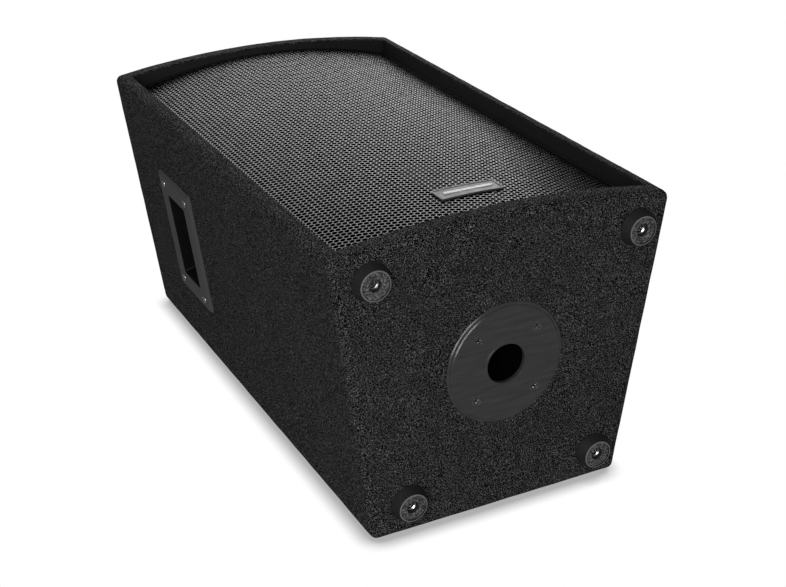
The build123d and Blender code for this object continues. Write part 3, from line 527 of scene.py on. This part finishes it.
MATERIALS = {
    "carpet": carpet_surface(),
    "board": board_surface(),
    "grille_steel": powder_surface("grille_steel", 0.020, 0.32),
    "foam": foam_surface(),
    "badge": moulded_surface("badge", 0.09, 0.42),
    "black_plastic": moulded_surface("black_plastic", 0.030, 0.42, 0.4),
    "black_steel": enamel_surface(),
    "dark_zinc": zinc_surface("dark_zinc", 0.22, 0.38, 0.12),
    "bright_steel": zinc_surface("bright_steel", 0.60, 0.82, 0.20),
    "rubber": rubber_surface(),
    "cone_paper": pulp_surface(),
    "cloth": cloth_surface(),
    "ferrite": ferrite_surface(),
    "copper": copper_surface(),
    "titanium": foil_surface(),
    "plug": moulded_surface("plug", 0.06, 0.5),
    "board_resin": resin_surface(),
    "capacitor": sleeve_surface("capacitor", (0.40, 0.07, 0.03), (0.62, 0.14, 0.06), 0.35),
    "wire": sleeve_surface("wire", (0.30, 0.02, 0.02), (0.48, 0.05, 0.04), 0.4),
    "wadding": wadding_surface(),
}
for part in frame["record"]["subparts"]:
    NODES[part["node"]].material_slots[0].material = MATERIALS[part["material_slot"]]
HANDLE_PLASTIC_AND_SHADE = handle_surface()
for side in ("left", "right"):
    NODES["handle_" + side].material_slots[0].material = HANDLE_PLASTIC_AND_SHADE
NODES["handle_screws"].material_slots[0].material = MATERIALS["bright_steel"]


# ================================================================ carpet
def half_width(y, inset):
    """Half the cabinet's width at y, with the side faces moved in by inset."""
    return WIDTH_FRONT / 2 - TAPER * (y - SIDE_FRONT_Y) - inset / math.cos(SIDE_ANGLE)


def front_corner(inset, arc_inset):
    """Where a side face moved in by inset meets the front arc moved in by arc_inset, as (x, y)."""
    radius = ARC_R - arc_inset
    reach = half_width(ARC_Y, inset)
    a = 1 + TAPER ** 2
    b = -2 * TAPER * reach
    c = reach ** 2 - radius ** 2
    drop = (-b - math.sqrt(b * b - 4 * a * c)) / (2 * a)
    return reach - TAPER * drop, ARC_Y + drop


def bend(core, angle_a, angle_b):
    """Ring points round one corner: the same core point with a turning normal."""
    angles = [angle_a + (angle_b - angle_a) * i / BEND_STEPS for i in range(1, BEND_STEPS)]
    return [(core, Vector((math.cos(a), math.sin(a)))) for a in angles]


def outline_ring():
    """The cabinet's plan as (core point, outward normal): the carpet lies CORNER out from the core."""
    x_mouth = front_corner(SIDE_WALL, 0)[0]
    x_core, y_core = front_corner(CORNER, CORNER)
    corner_angle = math.asin(x_core / (ARC_R - CORNER))
    mouth_angle = math.asin(x_mouth / ARC_R)
    ring = []
    for a in spread(-corner_angle, corner_angle, CARPET_STEP / ARC_R, (-mouth_angle, mouth_angle)):
        normal = Vector((math.sin(a), -math.cos(a)))
        ring.append((Vector((0, ARC_Y)) + normal * (ARC_R - CORNER), normal))
    y_back = BACK_Y - CORNER
    x_back = half_width(y_back, CORNER)
    front, back = Vector((x_core, y_core)), Vector((x_back, y_back))
    side_normal = Vector((math.cos(SIDE_ANGLE), math.sin(SIDE_ANGLE)))
    ring += bend(front, corner_angle - math.pi / 2, SIDE_ANGLE)
    ring += [(front.lerp(back, t), side_normal) for t in spread(0, 1, CARPET_STEP / (back - front).length)]
    ring += bend(back, SIDE_ANGLE, math.pi / 2)
    seam = WIDTH_BACK / 2 - SEAM_INSET
    rear = spread(-x_back, x_back, CARPET_STEP, (-seam, seam))
    ring += [(Vector((-x, y_back)), Vector((0, 1))) for x in rear]
    left = [(Vector((-p.x, p.y)), Vector((-n.x, n.y))) for p, n in reversed(ring) if n.x > 0.3]
    return ring + left


def level_rows():
    """The carpet's rows as (core z, cosine, sine) of the normal, from the bottom's rim to the top's."""
    low, high = BOTTOM_Z + CORNER, TOP_Z - CORNER
    turn = [math.pi / 2 * i / BEND_STEPS for i in range(1, BEND_STEPS + 1)]
    rows = [(low, math.cos(a), -math.sin(a)) for a in reversed(turn)]
    stops = (BOTTOM_Z + SEAM_INSET, BOTTOM_Z + END_WALL, TOP_Z - END_WALL, TOP_Z - SEAM_INSET)
    rows += [(z, 1.0, 0.0) for z in spread(low, high, CARPET_STEP, stops)]
    return rows + [(high, math.cos(a), math.sin(a)) for a in turn]


def carpet_zone(p):
    """Which piece of carpet covers the point, or None where there is an opening."""
    inside_z = BOTTOM_Z + END_WALL < p.z < TOP_Z - END_WALL
    if p.y < SIDE_FRONT_Y and inside_z and abs(p.x) < front_corner(SIDE_WALL, 0)[0] - 0.001:
        return None
    if abs(p.y - HANDLE_Y) < HANDLE_HOLE[0] and abs(p.z - HANDLE_Z) < HANDLE_HOLE[1]:
        return None
    if p.y < BACK_Y - 0.001:
        return "wrap"
    if abs(p.x) < DISH_HOLE[0] and abs(p.z - DISH_Z) < DISH_HOLE[1]:
        return None
    seam_z = BOTTOM_Z + SEAM_INSET < p.z < TOP_Z - SEAM_INSET
    return "back" if seam_z and abs(p.x) < WIDTH_BACK / 2 - SEAM_INSET else "wrap"


def nap(p, normal):
    """The carpet's unevenness at a point: soft waves and a little pile."""
    height = 0.00022 * noise.noise(p * 45) + 0.00010 * noise.noise(p * 260)
    return p + normal * (height - 0.0001)


def cap_loops(z, centre, radius, count):
    """Loops that close the bottom or the top, from the core outline to a circle round centre."""
    loops = []
    outward = Vector((0, 0, 1 if z == TOP_Z else -1))
    for i in range(1, count + 1):
        share = i / count
        loop = []
        for core, _ in RING:
            away = Vector((core.x, core.y)) - centre
            inner = centre + away.normalized() * radius
            p = core.lerp(inner, share)
            loop.append(nap(Vector((p.x, p.y, z)), outward))
        loops.append(loop)
    return loops


def carpet_mesh():
    """The whole outer skin as (points, faces)."""
    loops = []
    for core_z, across, up in ROWS:
        loop = []
        for core, n in RING:
            normal = Vector((n.x * across, n.y * across, up))
            loop.append(nap(Vector((core.x, core.y, core_z)) + normal * CORNER, normal))
        loops.append(loop)
    pole = Vector((0, POLE_Y))
    bottom = cap_loops(BOTTOM_Z, pole, POLE_HOLE_R, BOTTOM_LOOPS)
    top = cap_loops(TOP_Z, Vector((0, 0)), 0.001, TOP_LOOPS)
    loops = list(reversed(bottom)) + loops + top
    count = len(RING)
    points = [p for loop in loops for p in loop]
    faces = []
    for row in range(len(loops) - 1):
        for i in range(count):
            j = (i + 1) % count
            faces.append((row * count + i, row * count + j, (row + 1) * count + j, (row + 1) * count + i))
    faces.append([(len(loops) - 1) * count + i for i in range(count)])
    return points, faces


RING = outline_ring()
ROWS = level_rows()


def make_carpet():
    points, faces = carpet_mesh()
    zones = {"wrap": [], "back": []}
    for face in faces:
        middle = sum((points[i] for i in face), Vector()) / len(face)
        zone = carpet_zone(middle)
        if zone:
            zones[zone].append(face)
    made = {}
    for zone, kept in zones.items():
        used = sorted({i for face in kept for i in face})
        index = {old: new for new, old in enumerate(used)}
        mesh_data = ([points[i] for i in used], [[index[i] for i in face] for face in kept])
        piece = new_piece("carpet_" + zone + "_felt", mesh_data, MATERIALS["carpet"])
        weld(piece)
        thick = piece.modifiers.new("thick", "SOLIDIFY")
        thick.thickness = CARPET - 0.0002
        thick.offset = -1
        bake_modifiers(piece)
        smooth(piece, 50)
        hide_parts("carpet_" + zone)
        made[zone] = piece
    return made


make_carpet()


# ================================================================ grille and foam
def on_arc(s, z, back=0.0):
    """The point of the bowed sheet at arc length s from the centre, that far behind its front."""
    radius = GRILLE_R - back
    angle = s / GRILLE_R
    return Vector((radius * math.sin(angle), GRILLE_ARC_Y - radius * math.cos(angle), z))


def bent_strip(points, faces, s0, s1, z0, z1, front, back, step=0.008):
    """Adds a closed strip of the bowed sheet, from s0 to s1 and z0 to z1."""
    stops = spread(s0, s1, step)
    start = len(points)
    for s in stops:
        points += [on_arc(s, z0, front), on_arc(s, z1, front), on_arc(s, z1, back), on_arc(s, z0, back)]
    for i in range(len(stops) - 1):
        a, b = start + 4 * i, start + 4 * i + 4
        for k in range(4):
            m = (k + 1) % 4
            faces.append((a + k, a + m, b + m, b + k))
    faces.append((start + 3, start + 2, start + 1, start))
    end = len(points) - 4
    faces.append((end, end + 1, end + 2, end + 3))


def add_cells(points, faces, walls, half, z_low, z_high):
    """Fills the sheet with hexagon cells, each with a hole in it unless it lies on the plain border."""
    column = HOLE_PITCH * math.sqrt(3) / 2
    cell_r = HOLE_PITCH / math.sqrt(3)
    s_limit = half - GRILLE_MARGIN
    z_mid = (z_low + z_high) / 2
    z_limit = (z_high - z_low) / 2 - GRILLE_MARGIN
    angles = [math.pi / 3 * k for k in range(6)]
    corners = {}

    def corner(s, z):
        key = (round(s / SAME_CORNER), round(z / SAME_CORNER))
        if key not in corners:
            corners[key] = len(points)
            points.append(on_arc(s, z))
        return corners[key]

    columns = int(s_limit / column) + 1
    rows = int(z_limit / HOLE_PITCH) + 2
    for i in range(-columns, columns + 1):
        for j in range(-rows, rows + 1):
            s = i * column
            z = z_mid + (j + 0.5 * (i % 2)) * HOLE_PITCH
            if abs(s) > s_limit + cell_r or abs(z - z_mid) > z_limit + cell_r:
                continue
            rim = [corner(s + cell_r * math.cos(a), z + cell_r * math.sin(a)) for a in angles]
            if abs(s) > s_limit or abs(z - z_mid) > z_limit:
                faces.append(rim)
            else:
                add_hole(points, faces, walls, rim, s, z)


def add_border(points, faces, half, z_low, z_high):
    """The plain border round the holes, and the folds behind its upright edges."""
    wide = GRILLE_MARGIN - HOLE_R - 0.0002
    sheet = (0.00005, GRILLE_SHEET)
    bent_strip(points, faces, -half, half, z_low, z_low + wide, *sheet)
    bent_strip(points, faces, -half, half, z_high - wide, z_high, *sheet)
    for sign in (-1, 1):
        s_low, s_high = sorted((sign * half, sign * (half - wide)))
        bent_strip(points, faces, s_low, s_high, z_low + wide, z_high - wide, *sheet)
        add_fold(points, faces, sign, z_low, z_high)


def make_grille():
    """The perforated sheet: its cells with their holes, its border and its folded sides."""
    half = GRILLE_R * math.asin(GRILLE_HALF / GRILLE_R)
    points, faces, walls = [], [], []
    add_cells(points, faces, walls, half, GRILLE_LOW.z, GRILLE_HIGH.z)
    add_border(points, faces, half, GRILLE_LOW.z, GRILLE_HIGH.z)
    grille = new_piece("grille_sheet", (points, faces + walls), MATERIALS["grille_steel"])
    # painted shade: the holes' walls are coloured near black and given no reflection
    grille.data.materials.append(powder_surface("hole_walls_painted_shade", 0.003, 0.9, gloss=0.0))
    for face in grille.data.polygons[len(faces):]:
        face.material_index = 1
    smooth(grille, 40)
    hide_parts("grille")


def add_hole(points, faces, walls, rim, s, z):
    """One cell: the web between the hexagon and the hole, and the hole's wall through the sheet."""
    start = len(points)
    turn = math.pi / HOLE_SIDES
    for depth in (0.0, GRILLE_SHEET):
        for k in range(HOLE_SIDES):
            a = turn + 2 * math.pi * k / HOLE_SIDES
            points.append(on_arc(s + HOLE_R * math.cos(a), z + HOLE_R * math.sin(a), depth))
    outer_angles = [2 * math.pi * k / 6 for k in range(7)]
    inner_angles = [turn + 2 * math.pi * k / HOLE_SIDES for k in range(HOLE_SIDES + 1)]
    i, j = 0, 0
    while i < 6 or j < HOLE_SIDES:
        a, b = rim[i % 6], start + j % HOLE_SIDES
        if j >= HOLE_SIDES or (i < 6 and outer_angles[i + 1] <= inner_angles[j + 1]):
            faces.append((a, rim[(i + 1) % 6], b))
            i += 1
        else:
            faces.append((a, start + (j + 1) % HOLE_SIDES, b))
            j += 1
    for k in range(HOLE_SIDES):
        m = (k + 1) % HOLE_SIDES
        walls.append((start + k, start + m, start + HOLE_SIDES + m, start + HOLE_SIDES + k))


def add_fold(points, faces, sign, z0, z1):
    """The folded side edge that runs back from the sheet, with a small outer radius."""
    outer = sign * GRILLE_HALF
    inner = sign * (GRILLE_HALF - GRILLE_SHEET)
    y0, y1 = GRILLE_SIDE_Y, GRILLE_HIGH.y
    rounding = 0.0004
    profile = [(inner, y0), (outer - sign * rounding, y0), (outer, y0 + rounding), (outer, y1), (inner, y1)]
    start = len(points)
    points += [Vector((x, y, z)) for z in (z0, z1) for x, y in profile]
    for k in range(5):
        m = (k + 1) % 5
        quad = (start + k, start + m, start + 5 + m, start + 5 + k)
        faces.append(quad if sign < 0 else tuple(reversed(quad)))
    faces.append([start + k for k in range(5)])
    faces.append([start + 5 + k for k in reversed(range(5))])


def make_foam():
    """The acoustic foam sheet that lies against the back of the grille."""
    z_values = spread(FOAM_LOW.z, FOAM_HIGH.z, FOAM_STEP)
    half = FOAM_HIGH.x * 1.003
    s_values = spread(-half, half, FOAM_STEP)
    points, faces = [], []
    for side in (FOAM_FRONT, FOAM_BACK):
        for z in z_values:
            for s in s_values:
                p = on_arc(s, z, side)
                points.append(on_arc(s, z, side + FOAM_PORES * (1 + noise.noise(p * 300))))
    wide, high = len(s_values), len(z_values)
    back = wide * high
    for r in range(high - 1):
        for c in range(wide - 1):
            a = r * wide + c
            faces.append((a, a + 1, a + 1 + wide, a + wide))
            faces.append((back + a, back + a + wide, back + a + 1 + wide, back + a + 1))
    border = list(range(wide)) + [r * wide + wide - 1 for r in range(1, high)]
    border += [(high - 1) * wide + c for c in reversed(range(wide - 1))]
    border += [r * wide for r in reversed(range(1, high - 1))]
    for a, b in zip(border, border[1:] + border[:1]):
        faces.append((a, back + a, back + b, b))
    foam = new_piece("grille_foam_sheet", (points, faces), MATERIALS["foam"])
    smooth(foam)
    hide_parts("grille_foam")


make_grille()
make_foam()


# ================================================================ badge bar and wadding
def make_badge_bar():
    """A plain raised bar with rounded ends that fills the badge's field."""
    low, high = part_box("badge_plate")
    z = (low.z + high.z) / 2
    half_long, half_high, rise = 0.0235, 0.0022, 0.0007
    base_y = low.y + 0.0004
    points, faces = [], []
    steps = 40
    for level, (shrink, out) in enumerate(((0.0, 0.0), (0.0, 0.6), (0.00035, 1.0))):
        for k in range(steps):
            a = 2 * math.pi * k / steps
            x = math.copysign(half_long - half_high, math.cos(a)) + (half_high - shrink) * math.cos(a)
            up = (half_high - shrink) * math.sin(a)
            bow = x * x / (2 * GRILLE_R)
            points.append(Vector((x, base_y + bow - rise * out, z + up)))
        if level:
            for k in range(steps):
                m = (k + 1) % steps
                a = (level - 1) * steps
                faces.append((a + k, a + m, a + steps + m, a + steps + k))
    faces.append([2 * steps + k for k in range(steps)])
    faces.append(list(reversed(range(steps))))
    surface = powder_surface("badge_bar", 0.75, 0.3, 900)
    bar = new_piece("badge_bar", (points, faces), surface)
    smooth(bar)


def make_wadding():
    """The wadding pad: its block remeshed, then roughened like pulled fibre."""
    source = NODES["wadding"]
    mesh = source.data.copy()
    pad = bpy.data.objects.new("wadding_pad", mesh)
    bpy.context.collection.objects.link(pad)
    grid = pad.modifiers.new("grid", "REMESH")
    grid.mode = "VOXEL"
    grid.voxel_size = WADDING_VOXEL
    bake_modifiers(pad)
    centre = sum((v.co for v in pad.data.vertices), Vector()) / len(pad.data.vertices)
    for vertex in pad.data.vertices:
        away = (vertex.co - centre).normalized()
        uneven = noise.noise(vertex.co * 60) + 0.5 * noise.noise(vertex.co * 190)
        vertex.co -= away * WADDING_FLUFF * (1 + uneven)
    pad.data.materials.clear()
    pad.data.materials.append(MATERIALS["wadding"])
    smooth(pad, 80)
    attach(pad, ROOT)
    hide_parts("wadding")


make_badge_bar()
make_wadding()


# ================================================================ stage, light and camera
def stage_surface(name, reach, shadow_grey):
    """White, seen from its front only, with a painted grey shadow where the object comes within reach of it.
    """
    material = bpy.data.materials.new(name)
    material.use_nodes = True
    material.cycles.emission_sampling = "NONE"
    tree = material.node_tree
    tree.nodes.clear()
    add, link = tree.nodes.new, tree.links.new
    # painted shadow: the white is dimmed towards grey by nearness to the object
    painted_shadow_ao = add("ShaderNodeAmbientOcclusion")
    painted_shadow_ao.inputs["Distance"].default_value = reach
    shade = add("ShaderNodeValToRGB")
    low, high = shade.color_ramp.elements
    low.position, low.color = 0.42, (shadow_grey, shadow_grey, shadow_grey, 1)
    high.position, high.color = 0.93, (1, 1, 1, 1)
    link(painted_shadow_ao.outputs["AO"], shade.inputs["Fac"])
    white = add("ShaderNodeEmission")
    link(shade.outputs["Color"], white.inputs["Color"])
    clear = add("ShaderNodeBsdfTransparent")
    side = add("ShaderNodeNewGeometry")
    mix = add("ShaderNodeMixShader")
    link(side.outputs["Backfacing"], mix.inputs[0])
    link(white.outputs[0], mix.inputs[1])
    link(clear.outputs[0], mix.inputs[2])
    out = add("ShaderNodeOutputMaterial")
    link(mix.outputs[0], out.inputs["Surface"])
    return material


def make_plane(name, centre, across, up, size, material):
    """A square stage plane whose front faces across x up, and which only the camera sees."""
    points = [centre + across * (a * size) + up * (b * size) for a, b in ((-1, -1), (1, -1), (1, 1), (-1, 1))]
    mesh = bpy.data.meshes.new(name)
    mesh.from_pydata([tuple(p) for p in points], [], [(0, 1, 2, 3)])
    mesh.materials.append(material)
    plane = bpy.data.objects.new(name, mesh)
    bpy.context.collection.objects.link(plane)
    plane.visible_diffuse = plane.visible_glossy = plane.visible_transmission = plane.visible_shadow = False
    plane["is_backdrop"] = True


def make_light(name, place, target, size, radiance, along):
    """An area light of that radiance, aimed at the target, with its long side along a direction."""
    data = bpy.data.lights.new(name, "AREA")
    data.shape = "RECTANGLE"
    data.size, data.size_y = size
    data.energy = radiance * math.pi * size[0] * size[1]
    lamp = bpy.data.objects.new(name, data)
    back = (place - target).normalized()
    side = (along - back * along.dot(back)).normalized()
    turn = Matrix((side, back.cross(side), back)).transposed().to_4x4()
    lamp.matrix_world = Matrix.Translation(place) @ turn
    bpy.context.collection.objects.link(lamp)


def make_world():
    """White behind everything, and a dim surround that is a little brighter behind the cabinet."""
    world = bpy.data.worlds.new("studio")
    world.use_nodes = True
    tree = world.node_tree
    add, link = tree.nodes.new, tree.links.new
    surround = tree.nodes["Background"]
    where = add("ShaderNodeTexCoord")
    split = add("ShaderNodeSeparateXYZ")
    link(where.outputs["Generated"], split.inputs[0])
    reach = add("ShaderNodeMapRange")
    reach.inputs["From Min"].default_value = 0.8
    reach.inputs["From Max"].default_value = -0.8
    reach.inputs["To Min"].default_value = AMBIENT[0]
    reach.inputs["To Max"].default_value = AMBIENT[1]
    link(split.outputs["Y"], reach.inputs["Value"])
    link(reach.outputs["Result"], surround.inputs["Strength"])
    surround.inputs["Color"].default_value = (1, 1, 1, 1)
    white = add("ShaderNodeBackground")
    white.inputs["Color"].default_value = (1, 1, 1, 1)
    path = add("ShaderNodeLightPath")
    mix = add("ShaderNodeMixShader")
    link(path.outputs["Is Camera Ray"], mix.inputs[0])
    link(surround.outputs[0], mix.inputs[1])
    link(white.outputs[0], mix.inputs[2])
    link(mix.outputs[0], tree.nodes["World Output"].inputs["Surface"])
    bpy.context.scene.world = world


def make_studio():
    x, y, z = Vector((1, 0, 0)), Vector((0, 1, 0)), Vector((0, 0, 1))
    make_plane("floor", Vector((0, 0, 0)), x, y, STAGE_HALF, stage_surface("floor", 0.12, 0.45))
    wall = Vector((0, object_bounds()[1].y + 0.0005, 0))
    make_plane("backdrop", wall, x, z, STAGE_HALF, stage_surface("backdrop", 0.018, 0.42))
    middle = Vector((0, -0.05, 0.27))
    make_light("grille_light", middle + GRILLE_LIGHT_FROM, middle, *GRILLE_LIGHT, x)
    flange = Vector((0, POLE_Y, BOTTOM_Z))
    make_light("front_strip", flange + STRIP_LIGHT_FROM, flange, *STRIP_LIGHT, STRIP_ALONG)
    make_world()
    bpy.context.scene.view_settings.view_transform = "Standard"


def make_camera():
    data = bpy.data.cameras.new("camera")
    data.sensor_width = 36
    data.lens = CAMERA_LENS
    camera = bpy.data.objects.new("camera", data)
    right = CAMERA_FORWARD.cross(CAMERA_UP)
    turn = Matrix((right, CAMERA_UP, -CAMERA_FORWARD)).transposed().to_4x4()
    camera.matrix_world = Matrix.Translation(CAMERA_PLACE) @ turn
    bpy.context.collection.objects.link(camera)
    bpy.context.scene.camera = camera


make_studio()
make_camera()
